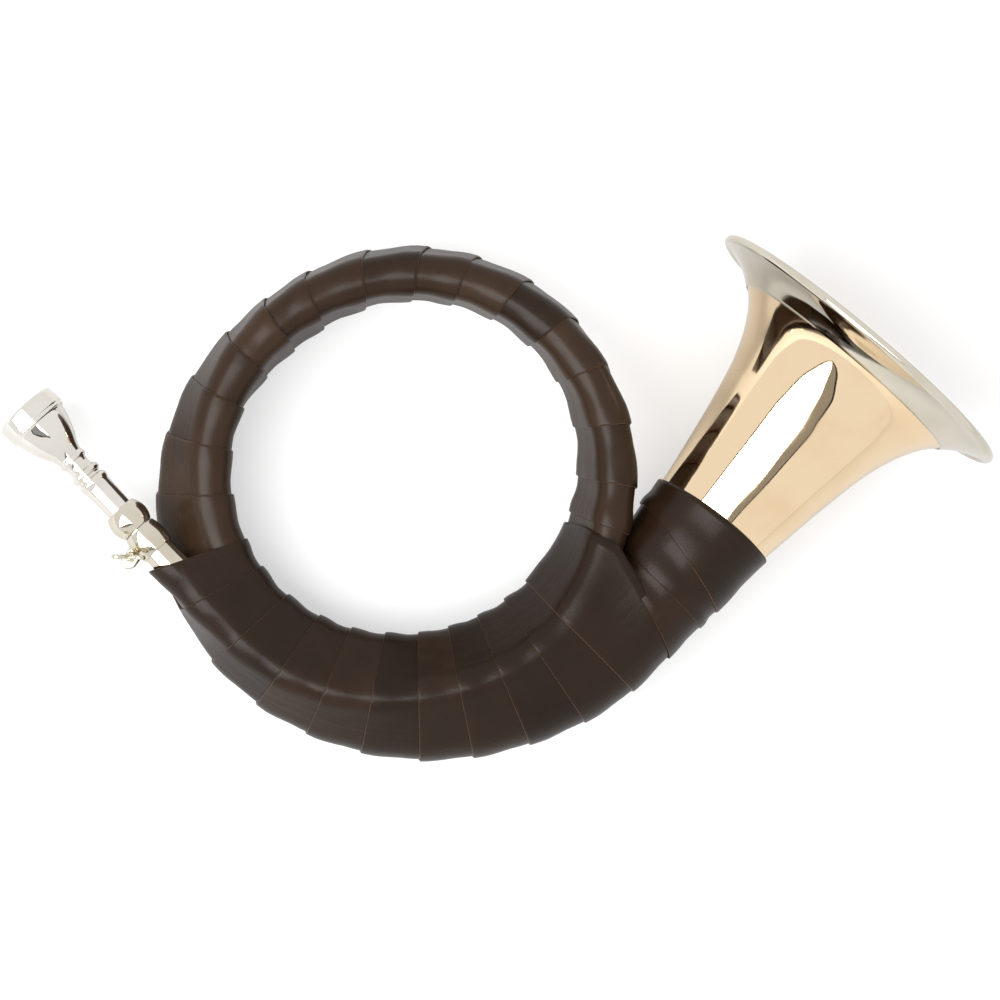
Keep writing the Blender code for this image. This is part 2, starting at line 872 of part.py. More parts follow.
add_turned(
    "mouthpiece",
    [(radius, rim_height - distance) for distance, radius in MOUTHPIECE_OUTLINE + MOUTHPIECE_BORE],
    silver,
    mouthpiece_carrier,
)


# Rest: the horn settles on its bell rim and the back of its ring, where its centre of mass is
# lowest
def finished_mesh(body, graph):
    """Corners and triangles of a finished piece in the world."""
    evaluated = body.evaluated_get(graph)
    mesh = evaluated.to_mesh()
    mesh.calc_loop_triangles()
    points = np.array([evaluated.matrix_world @ vertex.co for vertex in mesh.vertices])
    triangles = np.array([triangle.vertices[:] for triangle in mesh.loop_triangles])
    evaluated.to_mesh_clear()
    return points, triangles


bpy.context.view_layer.update()
depsgraph = bpy.context.evaluated_depsgraph_get()
clouds = []
total_mass = 0.0
moment = np.zeros(3)
for body in [piece for piece in parts.objects if piece.type == "MESH"]:
    points, triangles = finished_mesh(body, depsgraph)
    first, second, third = (points[triangles[:, k]] for k in range(3))
    volumes = np.einsum("ij,ij->i", first, np.cross(second, third)) / 6
    density = LEATHER_DENSITY if body.data.materials[0] is leather else METAL_DENSITY
    total_mass += density * volumes.sum()
    moment += density * (volumes[:, None] * (first + second + third) / 4).sum(axis=0)
    clouds.append(points)
cloud = np.vstack(clouds)
mass_center = moment / total_mass


def rest_turn(lean, roll):
    return Matrix.Rotation(math.radians(-lean), 4, "Y") @ Matrix.Rotation(math.radians(roll), 4, "X")


def height_over_table(lean, roll):
    """Height of the centre of mass over the lowest corner."""
    up = np.array(rest_turn(lean, roll))[2, :3]
    return mass_center @ up - (cloud @ up).min()


def lowest_place(function, low, high):
    """Where a function with one valley is lowest, by narrowing from both sides."""
    golden = (math.sqrt(5) - 1) / 2
    for _ in range(40):
        left = high - (high - low) * golden
        right = low + (high - low) * golden
        if function(left) < function(right):
            high = right
        else:
            low = left
    return (low + high) / 2


def best_lean(roll):
    return lowest_place(lambda lean: height_over_table(lean, roll), 0.0, MOST_LEAN)


rest_roll = lowest_place(
    lambda roll: height_over_table(best_lean(roll), roll), -MOST_ROLL, MOST_ROLL
)
resting = rest_turn(best_lean(rest_roll), rest_roll)
placed = cloud @ np.array(resting)[:3, :3].T
low = placed.min(axis=0)
middle = (low + placed.max(axis=0)) / 2
horn.matrix_local = Matrix.Translation((-middle[0], -middle[1], -low[2])) @ resting
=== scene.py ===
"""A round hunting horn in B flat, wound with brown leather, on a white table.

The horn is described in its own space: the middle of the ring is the origin, the bell points
along +X and +Z is the front, the side that lies uppermost. Places along the coiled tube are
given as the angle swept since the tube left the tuning slide, in degrees. Lengths are in
metres.
"""

import json
import math

import bmesh
import bpy
import numpy as np
from mathutils import Matrix, Vector, noise


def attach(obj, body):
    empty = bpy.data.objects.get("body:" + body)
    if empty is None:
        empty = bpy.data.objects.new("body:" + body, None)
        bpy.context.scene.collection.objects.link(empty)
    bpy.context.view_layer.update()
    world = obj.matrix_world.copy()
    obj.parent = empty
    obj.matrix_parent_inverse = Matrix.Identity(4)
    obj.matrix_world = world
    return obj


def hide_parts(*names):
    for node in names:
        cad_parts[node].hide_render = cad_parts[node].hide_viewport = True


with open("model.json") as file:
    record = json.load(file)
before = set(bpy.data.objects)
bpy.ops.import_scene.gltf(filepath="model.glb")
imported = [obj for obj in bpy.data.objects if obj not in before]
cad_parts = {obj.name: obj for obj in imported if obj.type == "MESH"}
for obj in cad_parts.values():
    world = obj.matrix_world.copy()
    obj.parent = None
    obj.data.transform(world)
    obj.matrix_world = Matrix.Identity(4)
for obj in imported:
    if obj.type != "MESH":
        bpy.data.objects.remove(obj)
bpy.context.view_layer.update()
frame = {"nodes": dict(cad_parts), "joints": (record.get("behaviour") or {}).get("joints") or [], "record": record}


# The coiled tube. Three conical lengths of thin gold brass tube are bent to two and a quarter
# turns and soldered end to end. The leather hides them, so the solid pieces stay and only get
# the brass that the bell is made of
START_ANGLE = 174
SWEEP = 816
HOLE_RADIUS = 0.0656
HOLE_OVAL = 0.0016
OVAL_ANGLE = -34
LEAD_RADIUS = 0.0058
EVEN_GROWTH = 0.0040
EVEN_POWER = 1.3
LATE_GROWTH = 0.0092
LATE_POWER = 9
PASS_GAP = 0.0010
BELL_AXIS_HEIGHT = 0.0120
COIL_EASE = 0.0019
OUTER_SLIDE_RADIUS = 0.0063
OVAL_FADE = 60
PAST_START = 40
PAST_END = 44
BELL_BESIDE = 60

# Angle swept, sideways place as a share of the neighbouring pass's width, spare height
FRONT_LANE = (
    (0, 1.11, 0.0),
    (48, 0.98, 0.0),
    (96, 0.84, 0.0),
    (120, 0.54, 0.0),
    (144, 0.42, 0.0040),
    (180, 0.30, 0.0015),
    (228, 0.22, 0.0),
    (312, 0.02, 0.0),
    (372, 0.0, 0.0),
)
BACK_LANE = (
    (456, 0.0),
    (504, 0.12),
    (540, 0.25),
    (588, 0.21),
    (630, 0.02),
    (660, 0.20),
    (684, 0.40),
    (720, 0.76),
    (744, 0.92),
    (768, 1.01),
    (792, 1.02),
    (816, 1.12),
)
# Distance from the end of the coil along the bell's axis, outer radius
BELL_PROFILE = (
    (0.0250, 0.0214),
    (0.0500, 0.0238),
    (0.0650, 0.0254),
    (0.0800, 0.0277),
    (0.0960, 0.0303),
    (0.1116, 0.0334),
    (0.1195, 0.0355),
    (0.1274, 0.0384),
    (0.1336, 0.0415),
    (0.1392, 0.0452),
    (0.1436, 0.0495),
    (0.1478, 0.0552),
    (0.1502, 0.0602),
    (0.1517, 0.0651),
)


def eased(stations, at):
    """The value at a place, on a smooth curve through (place, value) stations."""
    places = [station[0] for station in stations]
    values = [station[1] for station in stations]
    if at <= places[0]:
        return values[0]
    if at >= places[-1]:
        return values[-1]
    last = len(places) - 1
    slopes = [0.0]
    for i in range(1, last):
        slopes.append((values[i + 1] - values[i - 1]) / (places[i + 1] - places[i - 1]))
    slopes.append(0.0)
    i = max(k for k in range(last) if places[k] <= at)
    span = places[i + 1] - places[i]
    t = (at - places[i]) / span
    return (
        (2 * t**3 - 3 * t**2 + 1) * values[i]
        + (t**3 - 2 * t**2 + t) * span * slopes[i]
        + (3 * t**2 - 2 * t**3) * values[i + 1]
        + (t**3 - t**2) * span * slopes[i + 1]
    )


def tube_radius(swept):
    share = min(max(swept / SWEEP, 0.0), 1.0)
    return LEAD_RADIUS + EVEN_GROWTH * share**EVEN_POWER + LATE_GROWTH * share**LATE_POWER


def coil_reach(swept):
    """Distance of the tube's middle from the middle of the ring."""
    fade_in = eased(((0, 0.0), (OVAL_FADE, 1.0)), swept)
    fade_out = eased(((SWEEP - OVAL_FADE, 1.0), (SWEEP, 0.0)), swept)
    turned = math.radians(START_ANGLE + swept - OVAL_ANGLE)
    oval = HOLE_OVAL * fade_in * fade_out * math.cos(2 * turned)
    neighbour = swept + 360 if swept < SWEEP / 2 else swept - 360
    lane = tuple((place, share) for place, share, spare in FRONT_LANE) + BACK_LANE
    spacing = eased(lane, swept) * (2 * tube_radius(neighbour) + PASS_GAP)
    return HOLE_RADIUS + COIL_EASE + oval + tube_radius(swept) + spacing


LEAD_REACH = coil_reach(0)
BELL_REACH = coil_reach(SWEEP)


def bell_radius(distance):
    """Outer radius of the bell at a distance from the end of the coil."""
    stations = ((0.0, tube_radius(SWEEP)),) + BELL_PROFILE
    return float(np.interp(distance, *zip(*stations)))


def reach_and_radius(swept):
    """A pass in the plane through the ring's axis, also past both ends of the coil."""
    if swept < 0:
        slant = math.cos(math.radians(swept))
        return LEAD_REACH / slant, OUTER_SLIDE_RADIUS / slant
    if swept > SWEEP:
        slant = math.radians(swept - SWEEP)
        far = near = BELL_REACH
        for _ in range(6):
            far = BELL_REACH + bell_radius(far * math.tan(slant))
            near = BELL_REACH - bell_radius(near * math.tan(slant))
        return (far + near) / 2 / math.cos(slant), (far - near) / 2 / math.cos(slant)
    return coil_reach(swept), tube_radius(swept)


def stacked_height(swept):
    """The height at which the front pass clears every pass behind it."""
    reach, radius = reach_and_radius(swept)
    height = 0.0
    for behind in (swept + 360, swept + 720):
        if behind <= SWEEP + BELL_BESIDE:
            other_reach, other_radius = reach_and_radius(behind)
            apart = radius + other_radius + PASS_GAP
            if behind > SWEEP:
                apart += 2 * COIL_EASE
            over = math.sqrt(max(apart**2 - (other_reach - reach) ** 2, 0.0))
            height = max(height, min(tube_radius(behind), BELL_AXIS_HEIGHT) + over)
    return height


HEIGHTS = tuple(
    (swept, stacked_height(swept) + spare) for swept, share, spare in FRONT_LANE
) + tuple((swept, min(tube_radius(swept), BELL_AXIS_HEIGHT)) for swept, share in BACK_LANE)

course_degrees = np.arange(-PAST_START, SWEEP + PAST_END + 1)
course = np.array([(*reach_and_radius(d), eased(HEIGHTS, d)) for d in course_degrees])


def in_ring(swept, reach, height):
    """A place in the horn's space from the angle swept, the distance out and the height."""
    angle = math.radians(START_ANGLE + swept)
    return Vector((reach * math.cos(angle), reach * math.sin(angle), height))


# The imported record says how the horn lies: the bell's mount gives the way the bell points, the
# slide's joint the way the lead pipe runs, and the wing screw's joint a place on the pipe
LEAD_ANGLE = START_ANGLE - 90
COLLAR_MIDDLE = 0.04855
SCREW_REACH = 0.0093
joints = {joint["name"]: joint for joint in frame["joints"]}
bell_way = Vector(frame["record"]["mounts"][0]["axis"]).normalized()
pipe_way = Vector(joints["tuning_slide_pull"]["axis"]).normalized()
lead_cos = math.cos(math.radians(LEAD_ANGLE))
side_way = (pipe_way - bell_way * lead_cos).normalized()
lies = Matrix((bell_way, side_way, bell_way.cross(side_way))).transposed()
lead_way = in_ring(-90, 1.0, 0.0)
lead_start = in_ring(0, LEAD_REACH, eased(HEIGHTS, 0))
ring_middle = Vector(joints["clamp_screw_turn"]["pos_m"]) - lies @ (
    lead_start + lead_way * COLLAR_MIDDLE + in_ring(0, SCREW_REACH, 0.0)
)
horn_rest = Matrix.Translation(ring_middle) @ lies.to_4x4()


def add_node(tree, kind, inputs=None, **settings):
    """A shader node with its settings, and its sockets set to values or linked."""
    made = tree.nodes.new(kind)
    for setting, value in settings.items():
        setattr(made, setting, value)
    for socket, value in (inputs or {}).items():
        if isinstance(value, bpy.types.NodeSocket):
            tree.links.new(value, made.inputs[socket])
        else:
            made.inputs[socket].default_value = value
    return made


# Polished metal under lacquer or plate is never quite even: soft smears from handling change
# its gloss, and the polishing wheel leaves faint long marks
polish = bpy.data.node_groups.new("polish", "ShaderNodeTree")
polish.interface.new_socket("Size", in_out="INPUT", socket_type="NodeSocketFloat")
polish.interface.new_socket("Low Gloss", in_out="INPUT", socket_type="NodeSocketFloat")
polish.interface.new_socket("High Gloss", in_out="INPUT", socket_type="NodeSocketFloat")
polish.interface.new_socket("Roughness", in_out="OUTPUT", socket_type="NodeSocketFloat")
polish.interface.new_socket("Dullness", in_out="OUTPUT", socket_type="NodeSocketFloat")
polish.interface.new_socket("Height", in_out="OUTPUT", socket_type="NodeSocketFloat")
group_in = add_node(polish, "NodeGroupInput")
place = add_node(polish, "ShaderNodeTexCoord")
smears = add_node(
    polish,
    "ShaderNodeTexNoise",
    {"Vector": place.outputs["Object"], "Scale": group_in.outputs["Size"], "Detail": 5.0},
)
marks_place = add_node(
    polish, "ShaderNodeMapping", {"Vector": place.outputs["Object"], "Scale": (1.0, 1.0, 7.0)}
)
marks = add_node(
    polish,
    "ShaderNodeTexNoise",
    {"Vector": marks_place.outputs["Vector"], "Scale": 900.0, "Detail": 3.0},
)
dull = add_node(
    polish,
    "ShaderNodeMapRange",
    {"Value": smears.outputs["Fac"], "From Min": 0.42, "From Max": 0.72},
    interpolation_type="SMOOTHSTEP",
)
gloss = add_node(
    polish,
    "ShaderNodeMapRange",
    {
        "Value": dull.outputs["Result"],
        "To Min": group_in.outputs["Low Gloss"],
        "To Max": group_in.outputs["High Gloss"],
    },
)
add_node(
    polish,
    "NodeGroupOutput",
    {
        "Roughness": gloss.outputs["Result"],
        "Dullness": dull.outputs["Result"],
        "Height": marks.outputs["Fac"],
    },
)


def polished_metal(name, bright, dulled, low_gloss, high_gloss, size=45.0):
    """A polished metal: its bright colour, and the colour it takes where it is handled."""
    material = bpy.data.materials.new(name)
    material.use_nodes = True
    tree = material.node_tree
    shader = tree.nodes["Principled BSDF"]
    worn = add_node(
        tree,
        "ShaderNodeGroup",
        {"Size": size, "Low Gloss": low_gloss, "High Gloss": high_gloss},
        node_tree=polish,
    )
    color = add_node(
        tree,
        "ShaderNodeMix",
        {0: worn.outputs["Dullness"], 6: (*bright, 1.0), 7: (*dulled, 1.0)},
        data_type="RGBA",
    )
    bump = add_node(
        tree,
        "ShaderNodeBump",
        {"Height": worn.outputs["Height"], "Strength": 0.03, "Distance": 0.0001},
    )
    tree.links.new(color.outputs[2], shader.inputs["Base Color"])
    tree.links.new(worn.outputs["Roughness"], shader.inputs["Roughness"])
    tree.links.new(bump.outputs["Normal"], shader.inputs["Normal"])
    shader.inputs["Metallic"].default_value = 1.0
    return material


gold_brass = polished_metal(
    "lacquered_gold_brass", (0.91, 0.71, 0.47), (0.87, 0.66, 0.42), 0.03, 0.09
)
for node in ("lead_branch", "middle_branch", "bell_branch"):
    frame["nodes"][node].data.materials.clear()
    frame["nodes"][node].data.materials.append(gold_brass)


# The ferrules. Short nickel silver sleeves over the soldered joints of the tube, under the
# leather
nickel_silver = polished_metal(
    "nickel_silver", (0.72, 0.67, 0.57), (0.64, 0.59, 0.47), 0.05, 0.13
)
for node in ("lead_ferrule", "branch_ferrule"):
    frame["nodes"][node].data.materials.clear()
    frame["nodes"][node].data.materials.append(nickel_silver)


# The leather on the ring. One long strip of smooth dark calf leather, glued and pulled tight.
# It starts beside the bell and is wound over the two passes of the ring, each turn lapping over
# the one before, so that its raw edge shows as a thin tan line
STRIP = 0.0009
STRIP_EASE = 0.0007
LAP = 0.18
LAP_FALL = 0.55
RAW_EDGE_STAND = 0.95
FRONT_LEAN = 0.18
HULL_STEPS = 96
AROUND = 64
CREASE_SEED = 11.0
# How fine and how high the strip's uneven places are
WRINKLES = ((2.3, 0.00022), (7.1, 0.00010))
WRINKLE_STRETCH = 0.9
# The hide's tone, how much it changes along the strip, and how soon
TONE = 0.4
TONE_CHANGE = 0.3
TONE_FINENESS = 0.83
# Shares of the strip's width with columns of points near its raw edge, and how far the first
# of them are rounded down, as a share of the strip's thickness
EDGE_COLUMNS = (0.0, 0.012, 0.03, 0.07)
EDGE_ROUNDING = (0.5, 0.12, 0.0, 0.0)
FLAT_COLUMNS = 9


def smooth(t):
    return 3 * t**2 - 2 * t**3


def hull_section(swept, passes):
    """The tight section round some passes of the tube: evenly spaced (reach, height) points
    from its outer side over the front to its inner side and round the back, and which way is
    out at each of them."""
    tubes = []
    for turn in passes:
        values = [np.interp(swept + 360 * turn, course_degrees, course[:, k]) for k in range(3)]
        tubes.append(values)
    corners = []
    for side in range(HULL_STEPS + 1):
        turn = math.tau * side / HULL_STEPS
        across, up = math.cos(turn), math.sin(turn)
        reaches = [reach * across + height * up + radius for reach, radius, height in tubes]
        reach, radius, height = tubes[int(np.argmax(reaches))]
        grown = radius + STRIP_EASE
        corners.append((reach + grown * across, height + grown * up))
    corners = np.array(corners)
    lengths = np.hypot(*np.diff(corners, axis=0).T)
    along = np.concatenate(([0.0], np.cumsum(lengths)))
    middle = (corners.min(axis=0) + corners.max(axis=0)) / 2
    seen = np.unwrap(np.arctan2(corners[:, 1] - middle[1], corners[:, 0] - middle[0]))
    outer_side = np.interp(0.0 if seen[0] <= 0 else math.tau, seen, along)
    even = (outer_side + np.linspace(0.0, along[-1], AROUND + 1)) % along[-1]
    points = np.stack([np.interp(even, along, corners[:, k]) for k in range(2)], axis=1)
    ahead = np.roll(points[:-1], -1, axis=0)
    behind = np.roll(points[:-1], 1, axis=0)
    tangent = ahead - behind
    tangent /= np.hypot(*tangent.T)[:, None]
    out = np.stack([tangent[:, 1], -tangent[:, 0]], axis=1)
    out = np.vstack([out, out[:1]])
    return points, out


class Skin:
    """The tight skin over some passes, looked up by angle swept and share of the way round."""

    def __init__(self, first, last, passes):
        self.degrees = np.arange(first, last + 1)
        sections = [hull_section(swept, passes) for swept in self.degrees]
        self.points = np.array([section[0] for section in sections])
        self.out = np.array([section[1] for section in sections])

    def point(self, swept, share, lift):
        row = min(max(swept - self.degrees[0], 0.0), len(self.degrees) - 1.001)
        column = min(max(share, 0.0), 0.99999) * AROUND
        i, j = int(row), int(column)
        a, b = row - i, column - j

        def mixed(table):
            near = table[i, j] * (1 - b) + table[i, j + 1] * b
            far = table[i + 1, j] * (1 - b) + table[i + 1, j + 1] * b
            return near * (1 - a) + far * a

        place = mixed(self.points) + mixed(self.out) * lift
        return in_ring(swept, place[0], place[1])


def seam_place(seams, turn, share):
    """Where the raw edge of a turn lies. Over the front it leans a little, and behind it goes
    the rest of the way to the next turn."""
    near = seams[turn]
    far = seams[turn + 1]
    if share < 0.5:
        gone = 2 * FRONT_LEAN * share
    else:
        gone = FRONT_LEAN + (1 - FRONT_LEAN) * smooth(share * 2 - 1)
    return near + (far - near) * gone


def lap_lift(across):
    """How far a turn stands up: on the turn before it at its raw edge, then down on the tube."""
    t = min(max((across - LAP) / LAP_FALL, 0.0), 1.0)
    return STRIP * (1 + RAW_EDGE_STAND * (1 - smooth(t)))


def add_strip(name, turns, place_at, girth_at, width_at, node, paler, parts_around=AROUND):
    """A wound strip of leather as one mesh: many turns one way, raw edge to tucked edge the
    other. The hide is paler in some parts of the strip than in others."""
    columns = EDGE_COLUMNS + tuple(
        EDGE_COLUMNS[-1] + (1.0 + LAP - EDGE_COLUMNS[-1]) * k / FLAT_COLUMNS
        for k in range(1, FLAT_COLUMNS + 1)
    )
    roundings = EDGE_ROUNDING + (0.0,) * FLAT_COLUMNS
    steps = turns * parts_around
    bm = bmesh.new()
    bmesh.ops.create_grid(bm, x_segments=steps, y_segments=len(columns) - 1, size=1.0)
    uv = bm.loops.layers.uv.new("strip")
    tone = bm.verts.layers.float.new("tone")
    raw = bm.verts.layers.float.new("raw_edge")
    strip_place = {}
    for vert in bm.verts:
        step = round((vert.co.x + 1) / 2 * steps)
        column = round((vert.co.y + 1) / 2 * (len(columns) - 1))
        turn = min(step // parts_around, turns - 1)
        share = step / parts_around - turn
        across = columns[column]
        lift = lap_lift(across) - roundings[column] * STRIP
        where = Vector((step / parts_around, across * WRINKLE_STRETCH, CREASE_SEED))
        lift += sum(height * noise.noise(where * fineness) for fineness, height in WRINKLES)
        strip_place[vert] = (step / parts_around * girth_at, across * width_at)
        mottled = noise.noise(Vector((step / parts_around * TONE_FINENESS, CREASE_SEED, 2.0)))
        vert[tone] = TONE + TONE_CHANGE * mottled + paler
        vert[raw] = 1.0 if column == 0 else 0.0
        vert.co = place_at(turn, share, across, lift)
    for face in bm.faces:
        for loop in face.loops:
            loop[uv].uv = strip_place[loop.vert]
        face.smooth = True
    bmesh.ops.reverse_faces(bm, faces=bm.faces)
    bmesh.ops.remove_doubles(bm, verts=bm.verts, dist=2e-5)
    bmesh.ops.dissolve_degenerate(bm, edges=bm.edges, dist=1e-5)
    return finish_piece(name, bm, leather, "horn", node, thickness=STRIP * 0.92)


def finish_piece(name, bm, material, body, node, thickness=0.0, where=None):
    """Puts a finished bmesh in the horn's place, as a piece that stands for a solid one."""
    bmesh.ops.transform(bm, matrix=horn_rest @ (where or Matrix()), verts=bm.verts)
    mesh = bpy.data.meshes.new(name)
    bm.to_mesh(mesh)
    bm.free()
    mesh.materials.append(material)
    piece = bpy.data.objects.new(name, mesh)
    bpy.context.scene.collection.objects.link(piece)
    if thickness:
        wall = piece.modifiers.new("thickness", "SOLIDIFY")
        wall.thickness = thickness
        wall.offset = -1.0
    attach(piece, body)
    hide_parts(node)
    return piece


# Smooth calf leather: dark brown with slow changes from turn to turn, a fine pebbled grain, a
# few long creases, and a paler raw edge
leather = bpy.data.materials.new("brown_calf_leather")
leather.use_nodes = True
tree = leather.node_tree
shader = tree.nodes["Principled BSDF"]
tone = add_node(tree, "ShaderNodeAttribute", attribute_name="tone")
raw = add_node(tree, "ShaderNodeAttribute", attribute_name="raw_edge")
strip_uv = add_node(tree, "ShaderNodeUVMap", uv_map="strip")
place = add_node(tree, "ShaderNodeTexCoord")
cloudy = add_node(
    tree,
    "ShaderNodeTexNoise",
    {"Vector": place.outputs["Object"], "Scale": 70.0, "Detail": 4.0, "Roughness": 0.6},
)
mixed_tone = add_node(
    tree,
    "ShaderNodeMath",
    {0: cloudy.outputs["Fac"], 1: 0.35, 2: tone.outputs["Fac"]},
    operation="MULTIPLY_ADD",
)
hides = add_node(tree, "ShaderNodeValToRGB", {"Fac": mixed_tone.outputs["Value"]})
hides.color_ramp.elements[0].position = 0.35
hides.color_ramp.elements[0].color = (0.0100, 0.0048, 0.0021, 1.0)
hides.color_ramp.elements[1].position = 1.0
hides.color_ramp.elements[1].color = (0.0360, 0.0185, 0.0092, 1.0)
middle_hide = hides.color_ramp.elements.new(0.68)
middle_hide.color = (0.0165, 0.0081, 0.0036, 1.0)
edge_color = add_node(
    tree,
    "ShaderNodeMix",
    {0: raw.outputs["Fac"], 6: hides.outputs["Color"], 7: (0.17, 0.095, 0.055, 1.0)},
    data_type="RGBA",
)
tree.links.new(edge_color.outputs[2], shader.inputs["Base Color"])
grain = add_node(
    tree,
    "ShaderNodeTexVoronoi",
    {"Vector": place.outputs["Object"], "Scale": 1500.0},
    feature="SMOOTH_F1",
)
crease_place = add_node(
    tree, "ShaderNodeMapping", {"Vector": strip_uv.outputs["UV"], "Scale": (230.0, 38.0, 1.0)}
)
creases = add_node(
    tree,
    "ShaderNodeTexNoise",
    {"Vector": crease_place.outputs["Vector"], "Scale": 1.0, "Detail": 3.0, "Distortion": 0.6},
)
relief = add_node(
    tree,
    "ShaderNodeMath",
    {0: grain.outputs["Distance"], 1: 0.25, 2: creases.outputs["Fac"]},
    operation="MULTIPLY_ADD",
)
bump = add_node(
    tree,
    "ShaderNodeBump",
    {"Height": relief.outputs["Value"], "Strength": 0.35, "Distance": 0.0004},
)
tree.links.new(bump.outputs["Normal"], shader.inputs["Normal"])
rubbed = add_node(
    tree,
    "ShaderNodeMapRange",
    {"Value": cloudy.outputs["Fac"], "To Min": 0.23, "To Max": 0.40},
)
tree.links.new(rubbed.outputs["Result"], shader.inputs["Roughness"])
shader.inputs["Specular IOR Level"].default_value = 0.19

# Angle swept at the start of each turn's raw edge
RING_SEAMS = (
    106.0, 120.0, 131.5, 147.5, 163.5, 178.5, 193.5, 208.0, 221.0,
    236.5, 253.1, 266.0, 279.0, 293.0, 307.8, 322.0, 338.0, 350.0,
)
# The start lies this share of the strip's thickness lower, under the base's leather
RING_START_SINK = ((112.0, 0.85), (126.0, 0.0))
ring_skin = Skin(100, 356, (0, 1))


def on_ring_strip(turn, share, across, lift):
    near = seam_place(RING_SEAMS, turn, share)
    far = seam_place(RING_SEAMS, turn + 1, share)
    swept = near + (far - near) * across
    lift -= STRIP * eased(RING_START_SINK, swept)
    return ring_skin.point(swept, share, lift)


ring_leather = add_strip(
    "ring_leather",
    len(RING_SEAMS) - 2,
    on_ring_strip,
    girth_at=0.085,
    width_at=0.018,
    node="ring_wrap",
    paler=0.27,
)


# The leather round the base. Where the lead pipe comes in, the same strip goes on over all
# three passes, down to the crotch between the ring and the bell
BASE_SEAMS = (
    -22.0, -11.9, 1.2, 14.1, 26.0, 37.7, 49.5, 60.0, 71.1, 82.1, 92.5, 101.1,
)
# Where the strip is cut off and where it starts, as (share of the way round, angle swept)
LAST_EDGE = (
    (0.0, 102.2), (0.08, 103.6), (0.16, 106.8), (0.25, 111.8), (0.30, 115.0),
    (0.335, 117.6), (0.5, 119.2), (0.75, 113.0), (1.0, 105.5),
)
FIRST_EDGE = ((0.0, -22.0), (0.5, -20.2), (0.969, -19.0), (1.0, -11.9))
# The strip starts this far round, and this share of its thickness lower, under its first turn
TUCKED_START = 0.965
TUCKED_SINK = 0.6
# The last turns lie higher over the front and the inner side, where the ring's leather starts
OVER_RING_AROUND = ((0.24, 0.0), (0.32, 1.0), (0.7, 1.0), (0.8, 0.0))
OVER_RING_FROM = ((92.0, 0.0), (104.0, 1.0))
CUT_OFF = ((0.0, 0.0), (0.2, 1.0))
base_skin = Skin(-26, 124, (0, 1, 2))


def base_seam(turn, share):
    """Angle swept at a raw edge. The last one is where the strip is cut off."""
    if turn >= len(BASE_SEAMS) - 1:
        return eased(LAST_EDGE, share)
    return seam_place(BASE_SEAMS, turn, share)


def on_base_strip(turn, share, across, lift):
    near = eased(FIRST_EDGE, share) if turn == 0 else base_seam(turn, share)
    far = base_seam(turn + 1, share)
    if turn == 0 and share == 0:
        share = TUCKED_START
        lift -= TUCKED_SINK * STRIP
    if turn == len(BASE_SEAMS) - 2:
        across /= 1.0 + LAP * eased(CUT_OFF, share)
    swept = near + (far - near) * across
    lift += STRIP * eased(OVER_RING_AROUND, share) * eased(OVER_RING_FROM, swept)
    return base_skin.point(swept, share, lift)


base_leather = add_strip(
    "base_leather",
    len(BASE_SEAMS) - 1,
    on_base_strip,
    girth_at=0.14,
    width_at=0.018,
    node="base_wrap",
    paler=0.05,
)


# The leather cuff. The strip's last turns are wound on the bell branch alone, and the strip is
# cut off round the bell

# Distances of the seams along the bell, on its outer side and on the side towards the ring, and
# how much further they reach over the front
CUFF_OUTER_SEAMS = (0.0115, 0.0285, 0.0373, 0.0648)
CUFF_INNER_SEAMS = (0.0270, 0.0320, 0.0507, 0.0624)
CUFF_FRONT_LEAN = (0.0020, 0.0009, 0.0015, 0.0030)
CUFF_BACK_LEAN = 0.0015
CUFF_END_SINK = ((0.84, 0.0), (0.96, 1.1))
CUFF_END_LAP = 0.4


def to_inner_side(share):
    """0 on the outer side and 1 on the side towards the ring."""
    return (1 - math.cos(math.tau * share)) / 2


def cuff_seam(turn, share):
    """Distance along the bell of a raw edge, which leans towards the mouth over the front."""
    last = len(CUFF_OUTER_SEAMS) - 1
    turn = min(turn, last)
    t = to_inner_side(share)
    side = math.sin(math.tau * share)
    if share < 0.5:
        lean = CUFF_FRONT_LEAN[turn] * side
        return CUFF_OUTER_SEAMS[turn] * (1 - t) + CUFF_INNER_SEAMS[turn] * t + lean
    outer = CUFF_OUTER_SEAMS[min(turn + 1, last)]
    return outer * (1 - t) + CUFF_INNER_SEAMS[turn] * t + CUFF_BACK_LEAN * side


def on_cuff_strip(turn, share, across, lift):
    """The last turn narrows to nothing, and its end sinks into the turn under it."""
    near = cuff_seam(turn, share)
    far = cuff_seam(turn + 1, share)
    last_turn = len(CUFF_OUTER_SEAMS) - 2
    if turn == last_turn:
        across /= 1.0 + LAP
        lift -= STRIP * eased(CUFF_END_SINK, share)
    elif turn == last_turn - 1 and share > 0.5:
        across *= (1.0 + min(LAP, CUFF_END_LAP * to_inner_side(share))) / (1.0 + LAP)
    distance = near + (far - near) * across
    radius = bell_radius(distance) + STRIP_EASE + lift
    turned = math.tau * share
    return Vector(
        (
            distance,
            -BELL_REACH - radius * math.cos(turned),
            BELL_AXIS_HEIGHT + radius * math.sin(turned),
        )
    )


cuff_leather = add_strip(
    "cuff_leather",
    len(CUFF_OUTER_SEAMS) - 1,
    on_cuff_strip,
    girth_at=0.16,
    width_at=0.016,
    node="bell_cuff",
    paler=0.10,
    parts_around=96,
)


# The bell. One sheet of gold brass, rolled, brazed, spun to its flare and lacquered. Its narrow
# end is soldered to the bell branch under the leather
BELL_STEPS = 128
BELL_WALL = 0.0006
BELL_FIRST = 798.2
FLARE_PARTS = 5
CURVED_PARTS = 9


